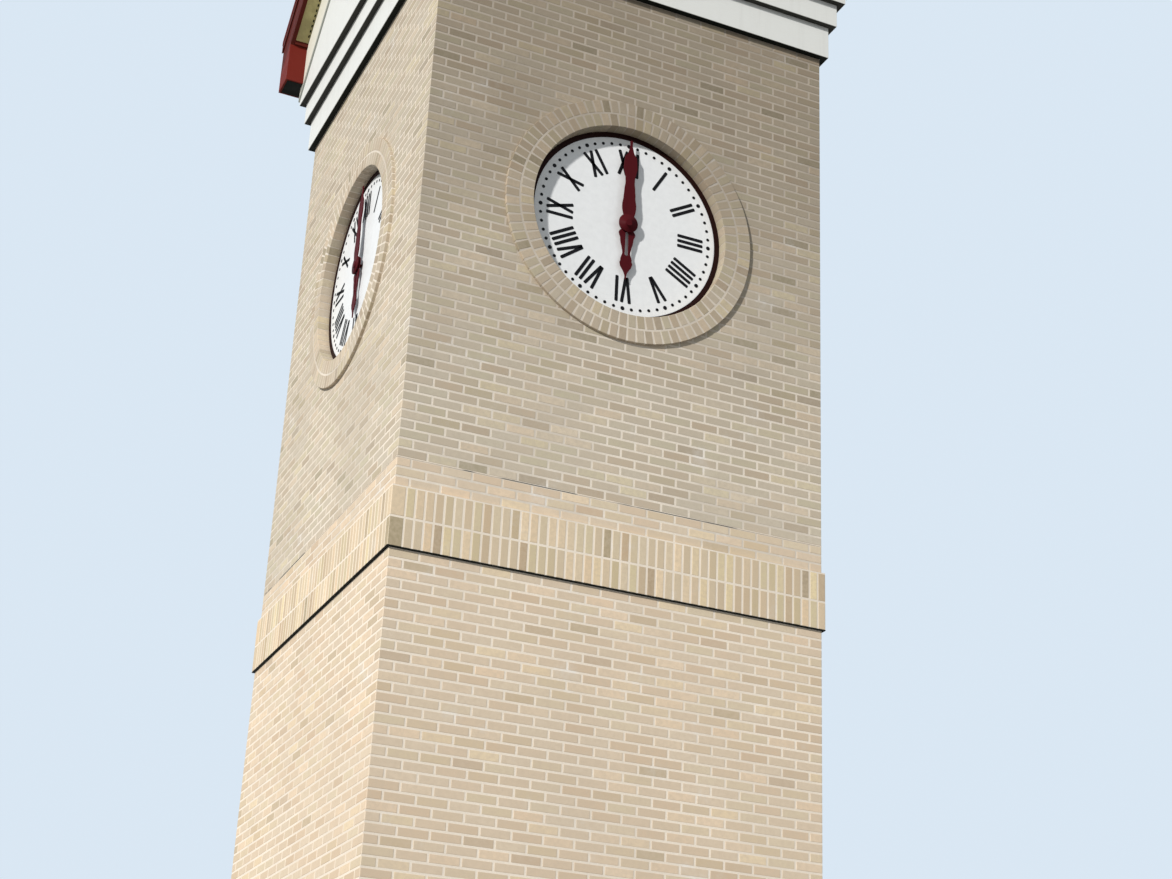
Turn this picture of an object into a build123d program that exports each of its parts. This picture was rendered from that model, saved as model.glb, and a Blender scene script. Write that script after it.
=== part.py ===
"""Brick clock tower with four dials, a stepped cornice and four gables.

Millimetres, +Z up. The origin is the middle of the base, the front faces -Y.
"""
import os

from build123d import *

# Brick sizes and joints
brick_length = 203.2
brick_width = 95.25
head_joint = 9.525
courses_per_length = 3
bricks_across = 15

# Shaft walls
lower_courses = 93
stretcher_courses = 3
stage_courses = 61
wall_thickness = 304.8
wall_rise_in_cornice = 690.0

# Soldier belt
soldier_rows = 2
belt_projection = 19.0
drip_height = 18.5
drip_depth = 80.0

# Clock opening and brick surround
clock_rise_courses = 32.5
opening_radius = 764.5
surround_width = 211.0
surround_projection = 25.0

# Dial and rim
dial_recess = 75.0
dial_thickness = 25.0
rim_width = 45.0
rim_depth = 22.0
boss_radius = 45.0
boss_depth = 30.0

# Hands and arbors
running_clearance = 0.06
arbor_radius = 8.0
sleeve_radius = 14.0
sleeve_tail = 12.0
arbor_tail = 20.0
hand_thickness = 8.0
hour_standoff = 24.0
minute_standoff = 42.0
cap_radius = 26.0
cap_depth = 10.0
cap_fillet = 3.0

# Minute hand outline, radii from the arbor and half widths
minute_hub_radius = 74.0
minute_waist_at = 60.0
minute_waist_half = 41.0
minute_belly_at = 145.0
minute_belly_half = 55.0
minute_neck_at = 368.0
minute_neck_half = 31.0
minute_bulb_at = 520.0
minute_bulb_half = 71.0
minute_shoulder_at = 606.0
minute_shoulder_half = 26.0
minute_tip_at = 690.0
minute_tip_half = 9.0

# Hour hand outline, radii from the arbor and half widths
hour_hub_radius = 66.0
hour_waist_at = 50.0
hour_waist_half = 48.0
hour_belly_at = 106.0
hour_belly_half = 71.0
hour_neck_at = 220.0
hour_neck_half = 43.0
hour_bulb_at = 290.0
hour_bulb_half = 69.0
hour_shoulder_at = 366.0
hour_shoulder_half = 30.0
hour_tip_at = 445.0
hour_tip_half = 5.0
slot_from = 66.0
slot_to = 262.0
slot_half = 18.0

# Cornice bands
lower_band_height = 283.0
lower_band_projection = 51.0
middle_band_height = 203.0
middle_band_projection = 100.0
upper_band_projection = 150.0

# Gables and eaves
roof_slope = 0.875
soffit_rise = 503.0
eave_overhang = 165.0
rake_board_height = 430.0
rake_board_projection = 10.0
soffit_thickness = 20.0
fascia_thickness = 25.0
fascia_height = 343.0
eave_box_rise = 185.0
eave_box_return = 80.0

# Roof covering
roof_thickness = 45.0
roof_drip = 15.0
ridge_half_width = 110.0
ridge_thickness = 20.0

# Levels and half sizes worked out from the dimensions above
course = brick_length / courses_per_length
wall_half = (bricks_across * (brick_length + head_joint) - head_joint) / 2
inner_half = wall_half - wall_thickness
belt_half = wall_half + belt_projection
belt_bottom = lower_courses * course
belt_top = belt_bottom + soldier_rows * (brick_length + head_joint)
stretcher_top = belt_top + stretcher_courses * course
clock_height = stretcher_top + clock_rise_courses * course
cornice_bottom = stretcher_top + stage_courses * course
middle_band_bottom = cornice_bottom + lower_band_height
upper_band_bottom = middle_band_bottom + middle_band_height
wall_top = cornice_bottom + wall_rise_in_cornice
lower_band_half = wall_half + lower_band_projection
middle_band_half = wall_half + middle_band_projection
gable_half = wall_half + upper_band_projection
eave_half = gable_half + eave_overhang
soffit_apex = upper_band_bottom + soffit_rise + roof_slope * gable_half
roof_underside_apex = soffit_apex + fascia_height
roof_apex = roof_underside_apex + roof_thickness
ridge_apex = roof_apex + ridge_thickness
eave_box_bottom = upper_band_bottom + eave_box_rise
surround_radius = opening_radius + surround_width
dial_back = dial_recess + dial_thickness
reach = 2 * eave_half
half_turn = 180
quarter_turn = 90

sides = ("front", "right", "back", "left")
corners = ("front_right", "back_right", "back_left", "front_left")


def square_ring(outer, inner, bottom, top):
    """A square ring between two half sizes and two levels."""
    height = top - bottom
    middle = Pos(0, 0, bottom + height / 2)
    return middle * (Box(2 * outer, 2 * outer, height) - Box(2 * inner, 2 * inner, height))


def block(x_from, x_to, y_from, y_to, bottom, top):
    """A box given by its limits."""
    size = Box(x_to - x_from, y_to - y_from, top - bottom)
    return Pos((x_from + x_to) / 2, (y_from + y_to) / 2, (bottom + top) / 2) * size


def clock_cylinder(radius, front, back):
    """A cylinder on the front clock axis, front and back measured behind the wall face."""
    turned = Rot(quarter_turn, 0, 0) * Cylinder(radius, back - front)
    return Pos(0, -wall_half + (front + back) / 2, clock_height) * turned


def gable_prism(apex):
    """Everything below a pair of slopes that meet in a ridge along Y."""
    low = apex - roof_slope * reach
    floor = low - reach
    profile = Polygon((-reach, floor), (reach, floor), (reach, low), (0, apex), (-reach, low), align=None)
    return extrude(Plane.XZ * profile, amount=reach, both=True)


def under_gables(apex):
    """Everything below the two crossing ridges."""
    prism = gable_prism(apex)
    return prism + Rot(0, 0, quarter_turn) * prism


def between_gables(lower_apex, upper_apex):
    """The layer between two sets of slopes."""
    return under_gables(upper_apex) - under_gables(lower_apex)


def front_sector():
    """The quarter of the plan that belongs to the front, cut on the diagonals."""
    quarter = Polygon((0, 0), (-reach, -reach), (reach, -reach), align=None)
    return extrude(Plane.XY * quarter, amount=2 * ridge_apex)


def round_sides(piece):
    """The front piece turned to the four sides."""
    return [Rot(0, 0, quarter_turn * turn) * piece for turn in range(len(sides))]


def hand_outline(stations, tip_at, tip_half):
    """A smooth hand blade through stations of radius and half width, closed by a round tip."""
    right = [(half, at) for at, half in stations] + [(tip_half, tip_at)]
    left = [(-half, at) for half, at in reversed(right)]
    edges = Spline(*right) + ThreePointArc(right[-1], (0, tip_at + tip_half), left[0])
    edges += Spline(*left) + Line(left[-1], right[0])
    return make_face(edges.edges())


def blade(outline, standoff):
    """A hand outline set parallel to the dial, its back at the standoff from the dial face."""
    plate = extrude(outline, amount=hand_thickness)
    return Pos(0, -wall_half + dial_recess - standoff, clock_height) * Rot(quarter_turn, 0, 0) * plate


def lower_shaft():
    return square_ring(wall_half, inner_half, 0, belt_bottom)


def belt_drip():
    return square_ring(belt_half, belt_half - drip_depth, belt_bottom, belt_bottom + drip_height)


def soldier_belt():
    return square_ring(belt_half, inner_half, belt_bottom, belt_top) - belt_drip()


def clock_stage():
    walls = square_ring(wall_half, inner_half, belt_top, wall_top)
    opening = clock_cylinder(opening_radius, 0, wall_thickness)
    seat = clock_cylinder(surround_radius, 0, brick_width)
    for cut in round_sides(opening + seat):
        walls -= cut
    return walls


def surround():
    ring = clock_cylinder(surround_radius, -surround_projection, brick_width)
    return ring - clock_cylinder(opening_radius, -surround_projection, brick_width)


def dial():
    face = clock_cylinder(opening_radius, dial_recess, dial_back)
    boss = clock_cylinder(boss_radius, dial_back, dial_back + boss_depth)
    bore = clock_cylinder(sleeve_radius + running_clearance, dial_recess, dial_back + boss_depth)
    return face + boss - bore


def dial_rim():
    ring = clock_cylinder(opening_radius, dial_recess - rim_depth, dial_recess)
    return ring - clock_cylinder(opening_radius - rim_width, dial_recess - rim_depth, dial_recess)


def hour_hand():
    stations = (
        (hour_waist_at, hour_waist_half),
        (hour_belly_at, hour_belly_half),
        (hour_neck_at, hour_neck_half),
        (hour_bulb_at, hour_bulb_half),
        (hour_shoulder_at, hour_shoulder_half),
    )
    outline = hand_outline(stations, hour_tip_at, hour_tip_half) + Circle(hour_hub_radius)
    slot_length = slot_to - slot_from
    slot = SlotOverall(slot_length, 2 * slot_half, rotation=quarter_turn)
    outline -= Pos(0, slot_from + slot_length / 2) * slot
    back = dial_back + boss_depth + sleeve_tail
    front = dial_recess - hour_standoff - hand_thickness
    sleeve = clock_cylinder(sleeve_radius, front, back)
    bore = clock_cylinder(arbor_radius + running_clearance, front, back)
    outline = Rot(0, 0, half_turn) * outline
    return blade(outline, hour_standoff) + sleeve - bore


def minute_hand():
    stations = (
        (minute_waist_at, minute_waist_half),
        (minute_belly_at, minute_belly_half),
        (minute_neck_at, minute_neck_half),
        (minute_bulb_at, minute_bulb_half),
        (minute_shoulder_at, minute_shoulder_half),
    )
    outline = hand_outline(stations, minute_tip_at, minute_tip_half) + Circle(minute_hub_radius)
    face = dial_recess - minute_standoff - hand_thickness
    back = dial_back + boss_depth + sleeve_tail + arbor_tail
    cap = clock_cylinder(cap_radius, face - cap_depth, face)
    cap = fillet(cap.edges().sort_by(Axis.Y)[0], cap_fillet)
    return blade(outline, minute_standoff) + clock_cylinder(arbor_radius, face, back) + cap


def cornice_lower():
    return square_ring(lower_band_half, wall_half, cornice_bottom, middle_band_bottom)


def cornice_middle():
    return square_ring(middle_band_half, wall_half, middle_band_bottom, upper_band_bottom)


def gable():
    panel = block(-gable_half, gable_half, -gable_half, -wall_half, upper_band_bottom, ridge_apex)
    panel = panel & front_sector() & under_gables(roof_underside_apex)
    board_half = gable_half + rake_board_projection
    board = block(-board_half, board_half, -board_half, -gable_half, upper_band_bottom, ridge_apex)
    board = board & front_sector() & between_gables(soffit_apex - rake_board_height, soffit_apex)
    return panel + board


def rake_soffit():
    fascia_back = eave_half - fascia_thickness
    strip = block(-eave_half, eave_half, -fascia_back, -gable_half, upper_band_bottom, ridge_apex)
    return strip & front_sector() & between_gables(soffit_apex, soffit_apex + soffit_thickness)


def rake_fascia():
    fascia_back = eave_half - fascia_thickness
    strip = block(-eave_half, eave_half, -eave_half, -fascia_back, upper_band_bottom, ridge_apex)
    return strip & front_sector() & between_gables(soffit_apex, roof_underside_apex)


def corner_eave(neighbours):
    """The boxed eave return round the front right corner, fitted to the two gables it meets."""
    start = gable_half - eave_box_return
    box = block(start, eave_half, -eave_half, -start, eave_box_bottom, ridge_apex)
    box -= block(0, gable_half, -gable_half, 0, eave_box_bottom, ridge_apex)
    box = box & under_gables(soffit_apex)
    for neighbour in neighbours:
        box -= neighbour
    return box


def roof():
    half = eave_half + roof_drip
    plan = block(-half, half, -half, half, eave_box_bottom, ridge_apex)
    return plan & between_gables(roof_underside_apex, roof_apex)


def ridge_cap():
    half = eave_half + roof_drip
    strip = block(-ridge_half_width, ridge_half_width, -half, half, upper_band_bottom, 2 * ridge_apex)
    strips = strip + Rot(0, 0, quarter_turn) * strip
    return strips & between_gables(roof_apex, ridge_apex)


pieces = {
    "lower_shaft": lower_shaft(),
    "belt_drip": belt_drip(),
    "soldier_belt": soldier_belt(),
    "clock_stage": clock_stage(),
    "cornice_lower": cornice_lower(),
    "cornice_middle": cornice_middle(),
    "roof": roof(),
    "ridge_cap": ridge_cap(),
}
gables = round_sides(gable())
repeated = {
    "surround": round_sides(surround()),
    "dial": round_sides(dial()),
    "dial_rim": round_sides(dial_rim()),
    "hour_hand": round_sides(hour_hand()),
    "minute_hand": round_sides(minute_hand()),
    "gable": gables,
    "rake_soffit": round_sides(rake_soffit()),
    "rake_fascia": round_sides(rake_fascia()),
}
for name, copies in repeated.items():
    for side, copy in zip(sides, copies):
        pieces[f"{name}_{side}"] = copy
eaves = round_sides(corner_eave(gables[:2]))
for corner, copy in zip(corners, eaves):
    pieces[f"corner_eave_{corner}"] = copy

os.makedirs("parts", exist_ok=True)
for name, piece in pieces.items():
    export_step(piece, os.path.join("parts", f"{name}.step"))
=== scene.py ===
"""Looks of the brick clock tower, laid out as a Blender add-on and run as a script."""
import math
import random

import bmesh
import bpy
from mathutils import Matrix, Vector


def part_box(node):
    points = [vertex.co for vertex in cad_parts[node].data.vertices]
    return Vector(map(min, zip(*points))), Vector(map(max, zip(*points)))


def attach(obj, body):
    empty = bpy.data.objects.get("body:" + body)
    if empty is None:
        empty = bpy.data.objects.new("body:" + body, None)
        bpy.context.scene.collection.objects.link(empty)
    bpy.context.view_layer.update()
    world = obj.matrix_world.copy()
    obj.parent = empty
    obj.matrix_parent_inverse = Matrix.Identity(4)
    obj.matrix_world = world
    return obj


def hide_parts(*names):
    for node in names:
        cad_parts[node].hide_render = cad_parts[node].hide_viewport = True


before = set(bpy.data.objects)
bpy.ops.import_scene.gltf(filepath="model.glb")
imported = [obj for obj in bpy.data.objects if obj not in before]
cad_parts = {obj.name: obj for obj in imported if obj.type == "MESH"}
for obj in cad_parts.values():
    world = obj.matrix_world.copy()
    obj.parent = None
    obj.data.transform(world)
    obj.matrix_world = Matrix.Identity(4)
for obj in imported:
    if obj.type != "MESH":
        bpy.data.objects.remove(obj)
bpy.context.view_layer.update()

bl_info = {
    "name": "Brick clock tower",
    "version": (1, 0, 0),
    "blender": (4, 5, 0),
    "location": "View3D > Sidebar > Clock tower",
    "description": "Brickwork, dials, cornice, gables, roof and studio of a clock tower",
    "category": "Object",
}

SIDES = ("front", "right", "back", "left")
CORNERS = ("front_right", "back_right", "back_left", "front_left")
BODY = "tower"
MM = 0.001
HAIR = 0.1 * MM

# Vertices this close are merged, and points this close to a plane lie on it
MERGED = 1e-5
ON_PLANE = 1e-6

# Cosine above which a face or an edge counts as turned to a direction
ALIGNED = 0.9

# Levels and half sizes read from the CAD frame
WALL_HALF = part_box("lower_shaft")[1].x
BELT_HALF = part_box("soldier_belt")[1].x
BELT_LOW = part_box("lower_shaft")[1].z
BELT_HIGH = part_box("soldier_belt")[1].z
DRIP_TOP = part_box("belt_drip")[1].z
CORNICE_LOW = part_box("cornice_lower")[0].z
DIAL_LOW, DIAL_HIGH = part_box("dial_front")
DIAL_RADIUS = DIAL_HIGH.x
CLOCK_Z = (DIAL_LOW.z + DIAL_HIGH.z) / 2
DIAL_FACE = -DIAL_LOW.y
RING_LOW, RING_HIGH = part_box("surround_front")
RING_RADIUS = RING_HIGH.x
RING_FACE = -RING_LOW.y
RING_BACK = -RING_HIGH.y
GABLE_HALF = -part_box("rake_soffit_front")[1].y
GABLE_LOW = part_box("gable_front")[0].z
EAVE_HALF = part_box("corner_eave_front_right")[1].x
EAVE_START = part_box("corner_eave_front_right")[0].x
FASCIA_BACK = -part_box("rake_fascia_front")[1].y
ROOF_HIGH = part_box("roof")[1]
ROOF_CORNER = max(
    v.co.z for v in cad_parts["roof"].data.vertices if min(v.co.x, v.co.y) > ROOF_HIGH.x - MM
)
ROOF_SLOPE = (ROOF_HIGH.z - ROOF_CORNER) / ROOF_HIGH.x

# Darkening towards the cornice, partly grime and partly painted shade, starts this far above the belt,
# would be full this far past the foot of the cornice, and its edge wanders by up to this height
GRIME_AND_SHADE_START = 0.6
GRIME_AND_SHADE_END = 0.8
GRIME_AND_SHADE_WANDER = 1.6


def turned(side):
    """The rotation that brings a front piece to another side."""
    return Matrix.Rotation(math.radians(90) * SIDES.index(side), 4, "Z")


# Sizes and colours a user may change


def length(name, description, default):
    """A size in metres."""
    return bpy.props.FloatProperty(
        name=name, description=description, default=default, min=0.0, unit="LENGTH", precision=4
    )


def tint(name, description, default):
    """A colour."""
    return bpy.props.FloatVectorProperty(
        name=name, description=description, default=default, min=0.0, max=1.0, subtype="COLOR"
    )


def count(name, description, default):
    """A whole number, one or more."""
    return bpy.props.IntProperty(name=name, description=description, default=default, min=1)


def lamp_strength(name, description, default):
    """How strong a light is."""
    return bpy.props.FloatProperty(name=name, description=description, default=default, min=0.0)


def lamp_angle(name, description, degrees):
    """The angle that a lamp fills."""
    return bpy.props.FloatProperty(
        name=name, description=description, default=math.radians(degrees), subtype="ANGLE"
    )


def lamp_place(name, description, default):
    """Where a lamp stands, as seen from the tower."""
    return bpy.props.FloatVectorProperty(
        name=name, description=description, default=default, subtype="DIRECTION"
    )


class BrickworkSettings(bpy.types.PropertyGroup):
    """Bricks, joints and mortar"""

    brick_length: length("Brick length", "Length of a stretcher", 0.2032)
    brick_width: length("Brick width", "Width of a header", 0.09525)
    brick_height: length("Soldier width", "Height of a brick on its bed", 0.05715)
    joint: length("Joint", "Width of the mortar joints", 0.009525)
    mortar_lap: length("Mortar lap", "How far the mortar laps over the edges of a brick", 0.0018)
    joint_recess: length("Joint recess", "Depth of the mortar behind the brick face", 0.0019)
    arris: length("Arris", "Worn edge of each brick", 0.0026)
    unevenness: length("Unevenness", "How far a row, and a brick in it, may lie back", 0.0005)
    soldier_unevenness: length("Soldier unevenness", "How far a soldier may lie back", 0.0012)
    ring_unevenness: length("Ring unevenness", "How far a ring brick may lie back", 0.0010)
    brick_inset: length("Brick depth", "Depth of a brick slip", 0.016)
    drip_edge: length("Drip edge", "Height of the dark edge under the belt", 0.006)
    drip_depth: length("Drip depth", "How far the drip edge runs back into the belt", 0.080)
    flashing_lip: length("Dark line", "How far the dark line over the stretchers shows", 0.0012)
    flashing_depth: length("Dark line depth", "How far that line runs back into the wall", 0.030)
    courses_per_length: count("Courses per brick", "Courses that rise by one brick length", 3)
    stretcher_courses: count("Warm courses", "Courses of the warmer brick above the belt", 3)
    inner_headers: count("Inner headers", "Bricks in the inner ring round a dial", 74)
    outer_headers: count("Outer headers", "Bricks in the outer ring round a dial", 84)
    header_length: length("Header length", "Radial length of the ring bricks", 0.0992)
    ring_bed: length("Ring bed", "How far the outer ring bricks reach into the wall", 0.020)
    ring_cover: length("Ring cover", "How far the rings lap over the wall bricks", 0.002)
    seed: count("Seed", "Seed of the brick tones", 7)
    shaft: tint("Shaft brick", "Middle tone of the shaft", (0.720, 0.590, 0.440))
    stage: tint("Stage brick", "Middle tone of the clock stage", (0.612, 0.526, 0.406))
    belt: tint("Belt brick", "Middle tone of the soldier bricks", (0.680, 0.558, 0.395))
    mortar: tint("Mortar", "Pale mortar", (0.90, 0.80, 0.67))
    # Painted shade and grime: the left and right sides get only this share of the darkening below the
    # cornice
    side_grime_and_shade: bpy.props.FloatProperty(
        name="Side grime", description="Share of the grime on the left and right sides", default=0.28,
        min=0.0, max=1.0, subtype="FACTOR",
    )
    # Colour left just below the cornice by grime and painted shade
    grime_and_shade: tint("Grime", "What is left of the colour just below the cornice", (0.50, 0.48, 0.455))


class DialSettings(bpy.types.PropertyGroup):
    """Numerals, dots, rims and hands"""

    dot_circle: length("Dot circle", "Radius of the minute dots", 0.673)
    dot_radius: length("Dot radius", "Radius of a minute dot", 0.0120)
    hour_dot_radius: length("Hour dot radius", "Radius of a five minute dot", 0.0155)
    mark_proud: length("Mark height", "Height of the numerals above the dial", 0.002)
    mark_foot: length("Mark foot", "How far the numerals reach into the dial", 0.001)
    numeral_inner: length("Numeral foot", "Radius of the inner ends of the numerals", 0.419)
    numeral_outer: length("Numeral head", "Radius of the outer ends of the numerals", 0.627)
    stroke: length("Stroke", "Width of a numeral stroke", 0.0245)
    bar_pitch: length("Bar pitch", "Distance between neighbouring bars", 0.0415)
    wide_pitch: length("Wide pitch", "Distance from a V or X to the next bar", 0.074)
    arms: length("Arms", "Distance between the open ends of a V or X", 0.063)
    rim_width: length("Rim width", "Radial width of the rim", 0.040)
    rim_depth: length("Rim depth", "Height of the rim above the dial", 0.006)
    enamel: tint("Dial", "White enamel", (0.84, 0.85, 0.85))
    burgundy: tint("Hands", "Burgundy paint of the hands", (0.072, 0.006, 0.009))
    rim: tint("Rim", "Dark red paint of the rim", (0.018, 0.006, 0.005))
    black: tint("Marks", "Black numerals and dots", (0.006, 0.006, 0.007))


class TrimSettings(bpy.types.PropertyGroup):
    """Cornice, gables, rakes and eave boxes"""

    board_edge: length("Board edge", "Rounded edge of the painted boards", 0.003)
    cornice_edge: length("Cornice edge", "Rounded edge of the cornice boards", 0.0018)
    # The grey bead under the raking board is painted shade
    shade_bead_drop: length("Bead drop", "Height of the grey bead below the raking board", 0.024)
    shade_bead_lap: length("Bead lap", "How far the grey bead laps up over the raking board", 0.022)
    shade_bead_proud: length("Bead height", "How far the grey bead stands off the raking board", 0.002)
    # The dark boards under the bands are painted shade of their undersides
    underside_inset: length("Underside inset", "White edge left below each band", 0.004)
    underside_proud: length("Underside height", "Thickness of the dark boards under the bands", 0.003)
    # The dark panel under an eave box is painted shade
    panel_margin: length("Panel margin", "Red edge round the dark panel under an eave box", 0.018)
    panel_proud: length("Panel height", "Thickness of the dark panel", 0.003)
    cap_drop: length("Fascia cap", "Height of the red cap along the foot of the fascia", 0.022)
    cap_reach: length("Cap width", "How far the cap reaches under the soffit", 0.012)
    crown_height: length("Crown height", "Height of the red strip along the head of the fascia", 0.085)
    crown_proud: length("Crown thickness", "How far the crown stands off the fascia", 0.012)
    # The vent slots are drawn as dark patches of painted shade
    vent_pitch: length("Vent pitch", "Distance between the vent slots of the soffit", 0.048)
    vent_length: length("Vent length", "Length of a vent slot", 0.024)
    vent_width: length("Vent width", "Width of a vent slot", 0.012)
    vent_inset: length("Vent inset", "Distance of the slots from the gable", 0.018)
    white: tint("White paint", "Painted cornice and gables", (0.76, 0.765, 0.73))
    cream: tint("Cream paint", "Raking boards", (0.76, 0.735, 0.63))
    olive: tint("Olive paint", "Soffit", (0.42, 0.375, 0.175))
    # Painted shade: the grey of the bead under the raking boards
    bead: tint("Bead", "Grey bead under the raking boards", (0.36, 0.37, 0.33))
    # Painted shade: the dark of the undersides of the cornice bands
    shade: tint("Undersides", "Dark boards under the bands", (0.040, 0.040, 0.035))
    red: tint("Red metal", "Eave boxes and roof", (0.150, 0.016, 0.010))
    brown: tint("Brown metal", "Fascia and its trim", (0.086, 0.014, 0.010))
    # This dark paints the drip edge, and also the painted shade of the vent slots, the eave panels and
    # the lowest cornice underside
    dark: tint("Dark metal", "Drip edge and eave panels", (0.008, 0.010, 0.008))


class RoofSettings(bpy.types.PropertyGroup):
    """Standing seams and ridge caps"""

    seam_pitch: length("Seam pitch", "Distance between standing seams", 0.42)
    seam_width: length("Seam width", "Width of a standing seam", 0.014)
    seam_height: length("Seam height", "Height of a standing seam", 0.018)
    seam_edge: length("Seam edge", "Eased edge of a standing seam", 0.0028)
    seam_foot: length("Seam foot", "How far a seam reaches down into the roof", 0.002)
    seam_margin: length("Seam margin", "Distance from the gable edge to the first seam", 0.05)
    cap_half: length("Cap half width", "Half width of the ridge cap", 0.108)


class StudioSettings(bpy.types.PropertyGroup):
    """Camera, lamps, sky and floor"""

    lens: bpy.props.FloatProperty(
        name="Lens", description="Focal length in millimetres", default=58.6, min=1.0
    )
    camera_place: bpy.props.FloatVectorProperty(
        name="Camera", description="Place of the camera", default=(-4.970, -12.480, 2.035),
        unit="LENGTH", subtype="TRANSLATION",
    )
    camera_turn: bpy.props.FloatVectorProperty(
        name="Camera turn", description="Rotation of the camera", subtype="EULER",
        default=tuple(math.radians(a) for a in (112.730, -2.521, -24.498)),
    )
    camera_shift: bpy.props.FloatProperty(
        name="Camera shift", description="Upward shift of the lens", default=0.0397
    )
    key_from: lamp_place("Key lamp", "Place of the lamp on the left", (-1.6, -1.0, 0.75))
    front_from: lamp_place("Fill lamp", "Place of the lamp in front", (0.9, -1.6, 0.5))
    back_from: lamp_place("Back lamp", "Place of the lamp behind", (1.3, 1.4, 0.9))
    key_light: lamp_strength("Key light", "Strength of the lamp on the left", 3.60)
    fill_light: lamp_strength("Fill light", "Strength of the lamp in front", 0.16)
    back_light: lamp_strength("Back light", "Strength of the lamp behind the tower", 2.00)
    key_spread: lamp_angle("Key spread", "Angle that the key lamp fills", 3)
    wide_spread: lamp_angle("Wide spread", "Angle that the other lamps fill", 25)
    warm: tint("Lamp colour", "Slightly warm light of the lamps", (1.0, 0.98, 0.955))
    cool: tint("Sky colour", "Slightly cool light from all sides", (0.90, 0.96, 1.0))
    sky: lamp_strength("Sky", "Strength of the even light from all sides", 0.31)
    floor_radius: length("Floor radius", "Radius of the studio floor", 600.0)
    floor: tint("Floor", "Pale floor", (0.74, 0.755, 0.77))
    bounce: tint("Floor bounce", "Floor as the light that it throws back sees it", (0.27, 0.27, 0.27))
    backdrop: tint("Backdrop", "Pale backdrop", (0.70, 0.80, 0.90))


GROUPS = {
    "tower_brickwork": BrickworkSettings,
    "tower_dials": DialSettings,
    "tower_trim": TrimSettings,
    "tower_roof": RoofSettings,
    "tower_studio": StudioSettings,
}


# Node materials


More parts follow.
